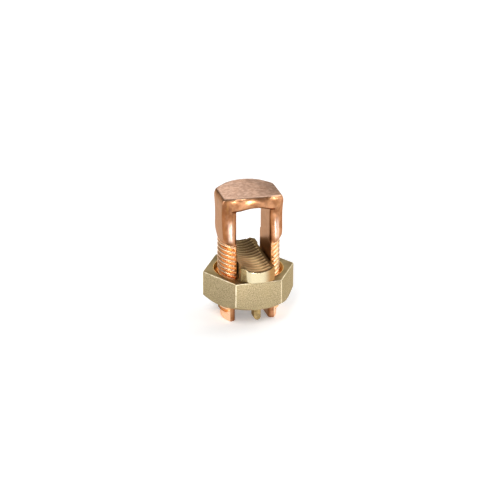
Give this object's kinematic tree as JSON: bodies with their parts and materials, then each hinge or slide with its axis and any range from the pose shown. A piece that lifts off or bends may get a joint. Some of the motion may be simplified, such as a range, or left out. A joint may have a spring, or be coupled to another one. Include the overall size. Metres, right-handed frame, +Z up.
{
  "type": "split bolt connector",
  "caption": "Forged split bolt with a hexagon nut and a ridged pressure bar that clamps copper cables side by side in the slot between its two threaded legs.",
  "frame": {"origin": "on the bolt's axis, level with the flat ends of its two legs", "axes": "+Z up the bolt's axis from the leg tips to the crown, X from leg to leg, Y along the cable"},
  "size_m": [0.0312, 0.0294, 0.0449],
  "materials": {
    "forged_copper": "bright copper forging, tumbled, a little browned on the crown",
    "nut_brass": "olive brass, fine sandy grain, pale worn edges",
    "bar_bronze": "brown bronze with a bright worn nose"
  },
  "bodies": {
    "bolt": {"split_bolt": "forged_copper"},
    "bar": {"pressure_bar": "bar_bronze"},
    "nut": {"hex_nut": "nut_brass"}
  },
  "joints": [
    {"name": "bar_slide", "type": "slide", "parent": "bolt", "child": "bar", "axis": [0, 0, 1], "range_m": [-0.01322, 0.01101]},
    {"name": "nut_turn", "type": "hinge", "parent": "bar", "child": "nut", "pos_m": [0, 0, 0.0118], "axis": [0, 0, 1], "range_deg": [-2990, 2490]}
  ],
  "couplings": [
    {"joint": "bar_slide", "follows": "nut_turn", "m_per_rad": 0.00025266}
  ]
}
